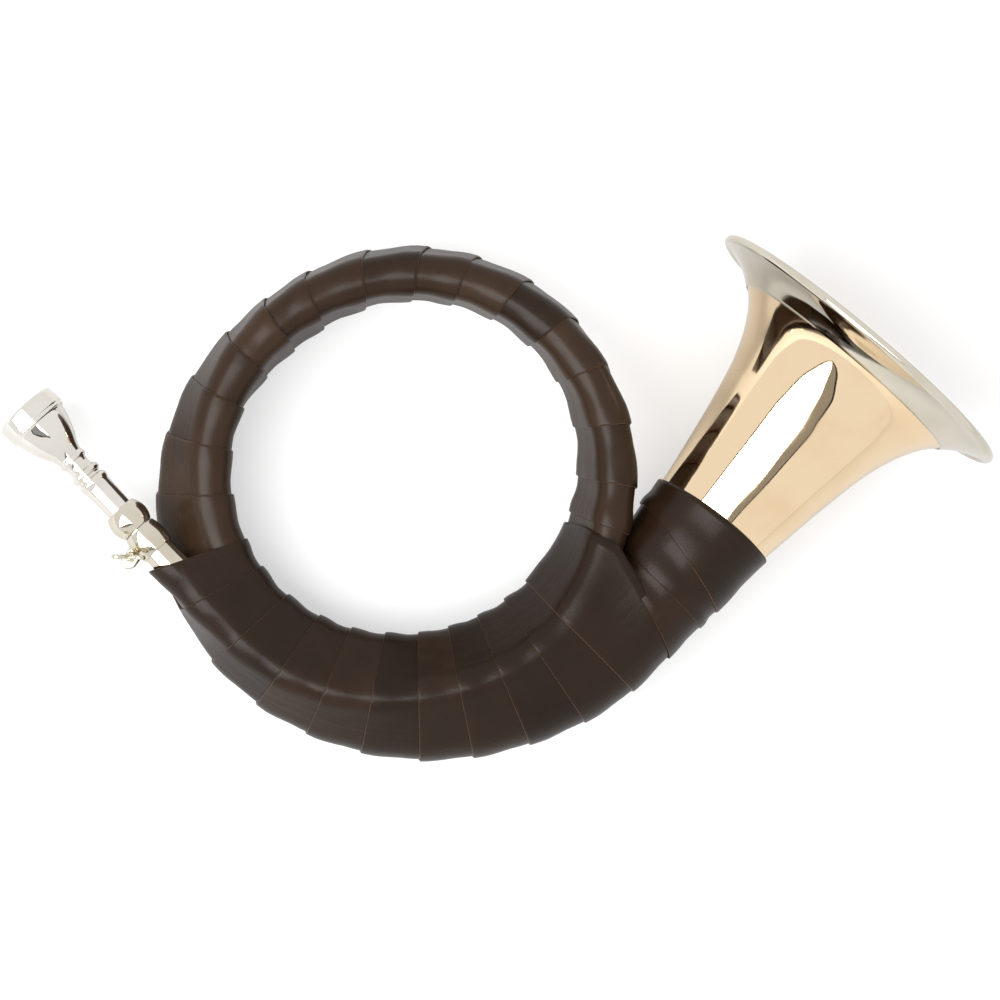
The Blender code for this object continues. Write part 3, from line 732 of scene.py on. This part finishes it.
def spun(bm, outline, steps):
    """Turns an outline of (radius, height) round Z into a closed skin."""
    verts = [bm.verts.new((radius, 0.0, height)) for radius, height in outline]
    edges = [bm.edges.new(pair) for pair in zip(verts, verts[1:] + verts[:1])]
    bmesh.ops.spin(
        bm,
        geom=verts + edges,
        cent=(0, 0, 0),
        axis=(0, 0, 1),
        angle=math.tau,
        steps=steps,
        use_merge=True,
    )
    bmesh.ops.remove_doubles(bm, verts=bm.verts, dist=1e-6)
    bmesh.ops.recalc_face_normals(bm, faces=bm.faces)
    for face in bm.faces:
        face.smooth = True


def flowing(points, parts):
    """More points on a smooth curve through some."""
    points = [Vector(point) for point in points]
    curve = []
    for i in range(len(points) - 1):
        before = points[max(i - 1, 0)]
        near, far = points[i], points[i + 1]
        after = points[min(i + 2, len(points) - 1)]
        for k in range(parts):
            t = k / parts
            curve.append(
                (
                    near * 2
                    + (far - before) * t
                    + (before * 2 - near * 5 + far * 4 - after) * t**2
                    + (near * 3 - before - far * 3 + after) * t**3
                )
                / 2
            )
    curve.append(points[-1])
    return curve


def moved_off(curve, away):
    """A curve moved sideways, away from the axis when it runs towards +Y."""
    moved = []
    for i, point in enumerate(curve):
        along = (curve[min(i + 1, len(curve) - 1)] - curve[max(i - 1, 0)]).normalized()
        moved.append(point + Vector((along.y, -along.x)) * away)
    return moved


# Points of the flare are (radius, distance along the bell's axis). Before the end of the coil
# the distance runs along the last of the curve
flare = flowing([(tube_radius(SWEEP), 0.0)] + [(r, d) for d, r in BELL_PROFILE], FLARE_PARTS)
curved_start = [
    Vector((tube_radius(swept), math.radians(swept - SWEEP) * BELL_REACH))
    for swept in np.linspace(BELL_FIRST, SWEEP, CURVED_PARTS + 1)[:-1]
]
bell_place = (
    Matrix.Translation((0, -BELL_REACH, BELL_AXIS_HEIGHT)) @ Matrix.Rotation(math.pi / 2, 4, "Y")
)
whole_bell = curved_start + list(flare)
bm = bmesh.new()
spun(bm, whole_bell + list(reversed(moved_off(whole_bell, -BELL_WALL))), BELL_STEPS)
for vert in bm.verts:
    up, side, distance = vert.co
    if distance < 0:
        swept = SWEEP + math.degrees(distance / BELL_REACH)
        vert.co = in_ring(swept, coil_reach(swept) - side, eased(HEIGHTS, swept) - up)
    else:
        vert.co = bell_place @ vert.co
bell = finish_piece("bell_flare", bm, gold_brass, "horn", "bell")


# The garland. A band of nickel silver laid on the flare, its edge rolled round the rim wire
GARLAND_START = 0.1436
WIRE_PLACE = (0.0664, 0.1526)
WIRE_RADIUS = 0.0011
ROLL_RADIUS = 0.00185
ROLL_PARTS = 28
ROLL_TURNS = (-110, 150)
GARLAND_LIFT = 0.00006
GARLAND_WALL = 0.00040
GARLAND_SLOPE = 0.00012
band = [point for point in flare if point.y >= GARLAND_START - 1e-6]
band_outer = moved_off(band, GARLAND_LIFT + GARLAND_WALL)
band_inner = moved_off(band, GARLAND_LIFT)
sloped_edge = band_inner[0].lerp(band_outer[0], 0.3)
band_outer.insert(0, sloped_edge - Vector((0.0, GARLAND_SLOPE)))


def arc(middle, radius, first, last, count):
    """Points on an arc round a (radius, height) middle, from one angle to another."""
    turns = [math.radians(first + (last - first) * i / count) for i in range(count + 1)]
    return [Vector(middle) + radius * Vector((math.cos(t), math.sin(t))) for t in turns]


roll_out = arc(WIRE_PLACE, ROLL_RADIUS, *ROLL_TURNS, ROLL_PARTS)
roll_in = arc(WIRE_PLACE, ROLL_RADIUS - GARLAND_WALL, *reversed(ROLL_TURNS), ROLL_PARTS)
bm = bmesh.new()
spun(bm, band_outer + roll_out + roll_in + list(reversed(band_inner)), BELL_STEPS)
garland = finish_piece("garland", bm, nickel_silver, "horn", "bell_garland", where=bell_place)


# The rim wire. A drawn wire bent to a ring, soldered shut and plated. It lies inside the roll
# of the garland and stiffens the mouth of the bell
silver_plate = polished_metal(
    "silver_plate", (0.82, 0.79, 0.73), (0.74, 0.70, 0.63), 0.04, 0.11
)
bm = bmesh.new()
spun(bm, arc(WIRE_PLACE, WIRE_RADIUS, 0, 330, 11), BELL_STEPS)
rim_wire = finish_piece("rim_wire_ring", bm, silver_plate, "horn", "rim_wire", where=bell_place)


# The outer slide tube. A plain drawn tube of nickel silver, soldered on the start of the lead
# pipe. Its end is slit under the clamp
lead_place = (
    Matrix.Translation(lead_start)
    @ Matrix((in_ring(0, 1.0, 0.0), lead_way.cross(in_ring(0, 1.0, 0.0)), lead_way))
    .transposed()
    .to_4x4()
)
TURNED_STEPS = 96
OUTER_SLIDE = (0.0040, 0.0540)
OUTER_SLIDE_BORE = 0.0060
SLIT_WIDTH = 0.0007
SLIT_START = 0.0421


def sharp_edges(bm, least=0.6):
    """Leaves the hard edges of a turned piece sharp."""
    for edge in bm.edges:
        edge.smooth = edge.calc_face_angle(0.0) < least


def slit(bm, first):
    """Opens a turned piece along its outer side from a height up, and gives the open edges."""
    for place, way in (
        ((0, -SLIT_WIDTH / 2, 0), (0, 1, 0)),
        ((0, SLIT_WIDTH / 2, 0), (0, 1, 0)),
        ((0, 0, first), (0, 0, 1)),
    ):
        bmesh.ops.bisect_plane(
            bm,
            geom=list(bm.verts) + list(bm.edges) + list(bm.faces),
            plane_co=place,
            plane_no=way,
            dist=1e-7,
        )
    gone = []
    for face in bm.faces:
        middle = face.calc_center_median()
        if middle.x > 0 and abs(middle.y) < SLIT_WIDTH / 2 and middle.z > first:
            gone.append(face)
    bmesh.ops.delete(bm, geom=gone, context="FACES")
    return [edge for edge in bm.edges if edge.is_boundary]


bm = bmesh.new()
spun(
    bm,
    [
        (OUTER_SLIDE_RADIUS, OUTER_SLIDE[0]),
        (OUTER_SLIDE_RADIUS, OUTER_SLIDE[1]),
        (OUTER_SLIDE_BORE, OUTER_SLIDE[1]),
        (OUTER_SLIDE_BORE, OUTER_SLIDE[0]),
    ],
    TURNED_STEPS,
)
# The slit's walls join each outer open edge to the inner one at its level
open_edges = slit(bm, SLIT_START)
levels = {}
for vert in {vert for edge in open_edges for vert in edge.verts}:
    levels.setdefault((round(vert.co.y, 6), round(vert.co.z, 6)), []).append(vert)
for pair in levels.values():
    pair.sort(key=lambda vert: -vert.co.x)
for edge in open_edges:
    near, far = [levels[(round(vert.co.y, 6), round(vert.co.z, 6))] for vert in edge.verts]
    if near is not far and edge.verts[0] is near[0] and edge.verts[1] is far[0]:
        bm.faces.new((near[0], far[0], far[1], near[1]))
bmesh.ops.recalc_face_normals(bm, faces=bm.faces)
sharp_edges(bm)
outer_slide = finish_piece(
    "outer_slide_tube", bm, nickel_silver, "horn", "outer_slide", where=lead_place
)


# The clamp. A turned nickel silver barrel soldered on the end of the outer slide tube, with a
# lug at its side. Barrel and lug are slit, so that the wing screw can draw them together
COLLAR = (0.0431, 0.0540)
COLLAR_BORE = 0.0065
BARREL_PARTS = 24
LUG_RADIUS = 0.0031
LUG_THICKNESS = 0.0048
LUG_ROOT = -0.0025
LUG_REACH = 0.0020
LUG_SHIFT = 0.0008
LUG_BORE = 0.0015
LUG_SOFTNESS = 0.0009


def rounded(corners, parts=6):
    """An outline whose corners (radius, height, rounding) are rounded off."""
    outline = []
    count = len(corners)
    for i, (radius, height, rounding) in enumerate(corners):
        here = Vector((radius, height))
        before = Vector(corners[i - 1][:2]) - here
        after = Vector(corners[(i + 1) % count][:2]) - here
        if rounding <= 0:
            outline.append(here)
            continue
        reach = min(rounding, before.length * 0.49, after.length * 0.49)
        first = here + before.normalized() * reach
        last = here + after.normalized() * reach
        for k in range(parts + 1):
            t = k / parts
            outline.append(first * (1 - t) ** 2 + here * 2 * t * (1 - t) + last * t**2)
    return outline


def barrel(start, end, bore, edge, bulge):
    """A barrel's outline: round outside, straight bore, softened ends."""
    half = (end - start) / 2
    radius = bore + edge + bulge
    curve = (half**2 + bulge**2) / (2 * bulge)
    outline = []
    for i in range(BARREL_PARTS + 1):
        height = (half - 0.0001) * (1 - 2 * i / BARREL_PARTS)
        outline.append((radius - curve + math.sqrt(curve**2 - height**2), start + half + height))
    lip = bore + edge * 0.7
    return outline + [(lip, start), (bore, start), (bore, end), (lip, end)]


def tongue(root, root_half, reach, shift, radius):
    """The outline of a tongue with a round end, from its root along +X."""
    turns = [math.radians(-105 + 210 * i / 36) for i in range(37)]
    round_end = [(reach + radius * math.cos(t), shift + radius * math.sin(t)) for t in turns]
    return round_end + [(root, root_half), (root, -root_half)]


def add_plate(bm, outline, low, high, soft, place, bore=0.0):
    """Adds a flat plate with softened edges to a bmesh. Its bore is round the plate's Z axis."""
    plate = bmesh.new()
    outer = [plate.verts.new((x, y, low)) for x, y in outline]
    if bore:
        turns = [math.atan2(y, x) for x, y in outline]
        inner = [plate.verts.new((bore * math.cos(t), bore * math.sin(t), low)) for t in turns]
        for i in range(len(outer)):
            plate.faces.new((outer[i - 1], outer[i], inner[i], inner[i - 1]))
    else:
        plate.faces.new(outer)
    grown = bmesh.ops.extrude_face_region(plate, geom=list(plate.faces))
    raised = [item for item in grown["geom"] if isinstance(item, bmesh.types.BMVert)]
    bmesh.ops.translate(plate, verts=raised, vec=(0, 0, high - low))
    bmesh.ops.recalc_face_normals(plate, faces=plate.faces)
    rims = [edge for edge in plate.edges if edge.calc_face_angle(0.0) > 1.0]
    bmesh.ops.bevel(plate, geom=rims, offset=soft, segments=4, profile=0.5, affect="EDGES")
    for face in plate.faces:
        face.smooth = True
    sharp_edges(plate, 0.9)
    bmesh.ops.transform(plate, matrix=place, verts=plate.verts)
    mesh = bpy.data.meshes.new("plate")
    plate.to_mesh(mesh)
    plate.free()
    bm.from_mesh(mesh)
    bpy.data.meshes.remove(mesh)


on_pipe = Matrix.Translation((SCREW_REACH, 0, COLLAR_MIDDLE)) @ Matrix.Rotation(
    -math.pi / 2, 4, "X"
)
bm = bmesh.new()
spun(bm, barrel(*COLLAR, COLLAR_BORE, edge=0.0002, bulge=0.0009), TURNED_STEPS)
bmesh.ops.holes_fill(bm, edges=slit(bm, 0.0))
bmesh.ops.recalc_face_normals(bm, faces=bm.faces)
sharp_edges(bm, 1.0)
lug_outline = tongue(LUG_ROOT, LUG_RADIUS, LUG_REACH, LUG_SHIFT, LUG_RADIUS)
for low, high in (
    (SLIT_WIDTH / 2, LUG_THICKNESS / 2),
    (-LUG_THICKNESS / 2, -SLIT_WIDTH / 2),
):
    add_plate(bm, lug_outline, low, high, LUG_SOFTNESS, on_pipe, bore=LUG_BORE)
collar = finish_piece(
    "slit_clamp_collar", bm, nickel_silver, "horn", "clamp_collar", where=lead_place
)


# The wing screw. It is cast in nickel silver with two rounded wings that lean away from its
# hub, and its thread goes through both halves of the lug
HUB_START = 0.0027
HUB_END = HUB_START + 0.0056
SCREW_RADIUS = 0.0013
SCREW_END = -0.0034
WING_HEIGHT = HUB_START + 0.0046
WING_LENGTH = 0.0072
WING_RADIUS = 0.0024
WING_ROOT_HALF = 0.0015
WING_THICKNESS = 0.0018
WING_SOFTNESS = 0.0006
WING_LEAN = math.radians(62)
WING_TURN = math.radians(-45)
bm = bmesh.new()
spun(
    bm,
    rounded(
        [
            (0.0, HUB_END + 0.0006, 0),
            (0.0014, HUB_END + 0.0005, 0.0006),
            (0.0019, HUB_END - 0.0004, 0.0006),
            (0.0017, HUB_START + 0.0012, 0.0008),
            (0.0021, HUB_START + 0.0006, 0.0003),
            (0.0021, HUB_START, 0.0001),
            (SCREW_RADIUS, HUB_START, 0),
            (SCREW_RADIUS, SCREW_END + 0.0004, 0),
            (SCREW_RADIUS - 0.0004, SCREW_END, 0),
            (0.0, SCREW_END, 0),
        ]
    ),
    64,
)
sharp_edges(bm)
wing_outline = tongue(0.0, WING_ROOT_HALF, WING_LENGTH - WING_RADIUS, 0.0, WING_RADIUS)
for half_turn in (0.0, math.pi):
    wing_place = (
        Matrix.Rotation(WING_TURN + half_turn, 4, "Z")
        @ Matrix.Translation((0, 0, WING_HEIGHT))
        @ Matrix.Rotation(WING_LEAN - math.pi / 2, 4, "Y")
        @ Matrix.Rotation(math.pi / 2, 4, "X")
    )
    add_plate(
        bm, wing_outline, -WING_THICKNESS / 2, WING_THICKNESS / 2, WING_SOFTNESS, wing_place
    )
screw = finish_piece(
    "cast_wing_screw", bm, nickel_silver, "wing_screw", "wing_screw", where=lead_place @ on_pipe
)


# The receiver ball. A turned nickel silver bead on the end of the inner slide tube, which the
# mouthpiece is pushed into
BALL = (0.0543, 0.0649)
BALL_BORE = 0.0060
bm = bmesh.new()
spun(bm, barrel(*BALL, BALL_BORE, edge=0.0004, bulge=0.0017), TURNED_STEPS)
sharp_edges(bm, 1.0)
ball = finish_piece(
    "receiver_bead", bm, nickel_silver, "tuning_slide", "receiver_ball", where=lead_place
)


# The inner slide tube. A plated tube that slides in the outer one and is reamed for the
# mouthpiece's taper
INNER_SLIDE = (0.0200, 0.0649)
INNER_SLIDE_RADIUS = 0.0058
INNER_SLIDE_BORE = 0.0049
TAPER_MOUTH = 0.00545
TAPER_END = 0.0409
bm = bmesh.new()
spun(
    bm,
    [
        (INNER_SLIDE_RADIUS, INNER_SLIDE[0]),
        (INNER_SLIDE_RADIUS, INNER_SLIDE[1]),
        (TAPER_MOUTH, INNER_SLIDE[1]),
        (INNER_SLIDE_BORE, TAPER_END),
        (INNER_SLIDE_BORE, INNER_SLIDE[0]),
    ],
    TURNED_STEPS,
)
sharp_edges(bm)
inner_slide = finish_piece(
    "inner_slide_tube", bm, silver_plate, "tuning_slide", "inner_slide", where=lead_place
)


# The mouthpiece. Turned from one bar of brass and silver plated: a rounded rim, a goblet cup,
# two beads and a long tapered shank
RIM_HEIGHT = 0.1189
# Distance from the rim, radius, rounding
MOUTHPIECE = (
    (0.0000, 0.0108, 0.0008),
    (0.0000, 0.01225, 0.0009),
    (0.0010, 0.01285, 0.0010),
    (0.0068, 0.01285, 0.0005),
    (0.0071, 0.01245, 0.0002),
    (0.0076, 0.01245, 0.0002),
    (0.0078, 0.01265, 0.0002),
    (0.0084, 0.01255, 0.0003),
    (0.0088, 0.01175, 0.0004),
    (0.0125, 0.01085, 0.0030),
    (0.0162, 0.0097, 0.0030),
    (0.0200, 0.0080, 0.0030),
    (0.0235, 0.0061, 0.0025),
    (0.0262, 0.0053, 0.0008),
    (0.0268, 0.0058, 0.0005),
    (0.0282, 0.0058, 0.0005),
    (0.0288, 0.0049, 0.0008),
    (0.0312, 0.0045, 0.0016),
    (0.0334, 0.0049, 0.0008),
    (0.0340, 0.0062, 0.0006),
    (0.0358, 0.0062, 0.0008),
    (0.0366, 0.0049, 0.0006),
    (0.0376, 0.0050, 0.0004),
    (0.0384, 0.0062, 0.0009),
    (0.0400, 0.0063, 0.0012),
    (0.0412, 0.0056, 0.0008),
    (0.0540, 0.00525, 0),
    (0.0760, 0.0047, 0.0002),
    (0.0760, 0.0038, 0),
    (0.0210, 0.0021, 0.0010),
    (0.0150, 0.0021, 0.0015),
    (0.0112, 0.0040, 0.0030),
    (0.0060, 0.0069, 0.0030),
    (0.0016, 0.0086, 0.0020),
    (0.0002, 0.0095, 0.0010),
)
corners = [(radius, RIM_HEIGHT - distance, soft) for distance, radius, soft in MOUTHPIECE]
bm = bmesh.new()
spun(bm, rounded(corners), TURNED_STEPS)
mouthpiece = finish_piece(
    "mouthpiece_turned", bm, silver_plate, "mouthpiece", "mouthpiece", where=lead_place
)


# The table. A plain white sheet that the horn lies on. The camera sees it lifted to white, so
# that only the shadow near the horn shows
TABLE_HALF = 1.2
TABLE_GREY = 0.63
TABLE_LIFT = 0.38
bm = bmesh.new()
bmesh.ops.create_grid(bm, x_segments=1, y_segments=1, size=TABLE_HALF)
table_mesh = bpy.data.meshes.new("table")
bm.to_mesh(table_mesh)
bm.free()
table = bpy.data.objects.new("table", table_mesh)
bpy.context.scene.collection.objects.link(table)
table_finish = bpy.data.materials.new("white_table")
table_finish.use_nodes = True
table_shader = table_finish.node_tree.nodes["Principled BSDF"]
table_shader.inputs["Base Color"].default_value = (TABLE_GREY, TABLE_GREY, TABLE_GREY, 1.0)
table_shader.inputs["Roughness"].default_value = 0.9
table_shader.inputs["Specular IOR Level"].default_value = 0.1
seen = add_node(table_finish.node_tree, "ShaderNodeLightPath")
lifted = add_node(
    table_finish.node_tree,
    "ShaderNodeMath",
    {0: seen.outputs["Is Camera Ray"], 1: TABLE_LIFT},
    operation="MULTIPLY",
)
table_shader.inputs["Emission Color"].default_value = (1.0, 1.0, 1.0, 1.0)
table_finish.node_tree.links.new(lifted.outputs["Value"], table_shader.inputs["Emission Strength"])
table_mesh.materials.append(table_finish)


# The studio. A white tent round the table lights the horn evenly from all sides, and a skylight
# overhead is what the bright metal mirrors
world = bpy.data.worlds.new("studio")
bpy.context.scene.world = world
world.use_nodes = True
tree = world.node_tree
background = tree.nodes["Background"]
background.inputs["Color"].default_value = (1.0, 1.0, 1.0, 1.0)
background.inputs["Strength"].default_value = 0.95

# The skylight over the horn is what the bell mirrors as a long white leaf. It narrows towards
# the lead pipe's side, has a thin dark frame, and a grey blind along one side. Corners are
# (along, across) the bell's axis, in metres from the middle of the bell
SKY_HEIGHT = 1.5
SKY_GLOW = 7.0
SKY_CORNERS = (
    (-0.20, 1.25), (-0.70, 1.25), (-1.20, 1.12), (-2.25, 0.84), (-3.30, 0.64),
    (-2.30, 0.38), (-1.42, 0.16), (-0.92, -0.02), (-0.50, -0.20), (-0.20, -0.66),
)
BLIND_CORNERS = (
    (-3.30, 0.64), (-2.30, 0.38), (-1.42, 0.16), (-0.92, -0.02), (-0.50, -0.20), (-0.20, -0.66),
    (-0.20, -0.80), (-0.45, -0.66), (-0.70, -0.51), (-1.20, -0.36), (-1.90, -0.04), (-3.04, 0.43),
)
FRAME_CORNERS = (
    (-0.20, 1.34), (-0.73, 1.34), (-1.25, 1.21), (-2.30, 0.94), (-3.60, 0.68),
    (-3.12, 0.37), (-1.95, -0.11), (-1.22, -0.43), (-0.70, -0.57), (-0.20, -0.86),
)
FLARE_MIDDLE = 0.08
LAYER_GAP = 0.005
bell_middle = Vector((FLARE_MIDDLE, -BELL_REACH, BELL_AXIS_HEIGHT))


def add_overhead(name, corners, height, grey, glow):
    """A flat sheet over the bell. It is there to light the horn and be mirrored, not seen."""
    bm = bmesh.new()
    places = [bell_middle + Vector((along, across, height)) for along, across in corners]
    bm.faces.new([bm.verts.new(horn_rest @ place) for place in places])
    bmesh.ops.triangulate(bm, faces=bm.faces)
    mesh = bpy.data.meshes.new(name)
    bm.to_mesh(mesh)
    bm.free()
    finish = bpy.data.materials.new(name)
    finish.use_nodes = True
    sheet_shader = finish.node_tree.nodes["Principled BSDF"]
    sheet_shader.inputs["Base Color"].default_value = (grey, grey, grey, 1.0)
    sheet_shader.inputs["Roughness"].default_value = 0.9
    sheet_shader.inputs["Specular IOR Level"].default_value = 0.0
    sheet_shader.inputs["Emission Color"].default_value = (1.0, 1.0, 1.0, 1.0)
    sheet_shader.inputs["Emission Strength"].default_value = glow
    mesh.materials.append(finish)
    sheet = bpy.data.objects.new(name, mesh)
    bpy.context.scene.collection.objects.link(sheet)
    sheet.visible_camera = False


add_overhead("skylight", SKY_CORNERS, SKY_HEIGHT, grey=0.0, glow=SKY_GLOW)
add_overhead("grey_blind", BLIND_CORNERS, SKY_HEIGHT + LAYER_GAP, grey=0.34, glow=0.0)
add_overhead("skylight_frame", FRAME_CORNERS, SKY_HEIGHT + 2 * LAYER_GAP, grey=0.02, glow=0.0)


# The camera. It looks straight down on the front of the ring, as the photograph does, where the
# way the bell points is turned up from the right
BELL_TURN = 49.5
VIEW_RIGHT = 0.0376
VIEW_UP = -0.0114
VIEW_DISTANCE = 1.262


def in_photo(right, up, towards):
    """A place given as the photograph shows it, in metres from the middle of the ring."""
    right_way = in_ring(-START_ANGLE - BELL_TURN, 1.0, 0.0)
    up_way = in_ring(-START_ANGLE - BELL_TURN + 90, 1.0, 0.0)
    return horn_rest @ (right_way * right + up_way * up + Vector((0, 0, towards)))


camera_data = bpy.data.cameras.new("camera")
camera_data.sensor_width = 36.0
camera_data.lens = 114.0
camera = bpy.data.objects.new("camera", camera_data)
bpy.context.scene.collection.objects.link(camera)
camera.location = in_photo(VIEW_RIGHT, VIEW_UP, VIEW_DISTANCE)
right_way = (in_photo(1, 0, 0) - in_photo(0, 0, 0)).normalized()
up_way = (in_photo(0, 1, 0) - in_photo(0, 0, 0)).normalized()
back_way = right_way.cross(up_way)
camera.rotation_euler = Matrix((right_way, up_way, back_way)).transposed().to_euler()
bpy.context.scene.camera = camera
bpy.context.scene.view_settings.view_transform = "Standard"
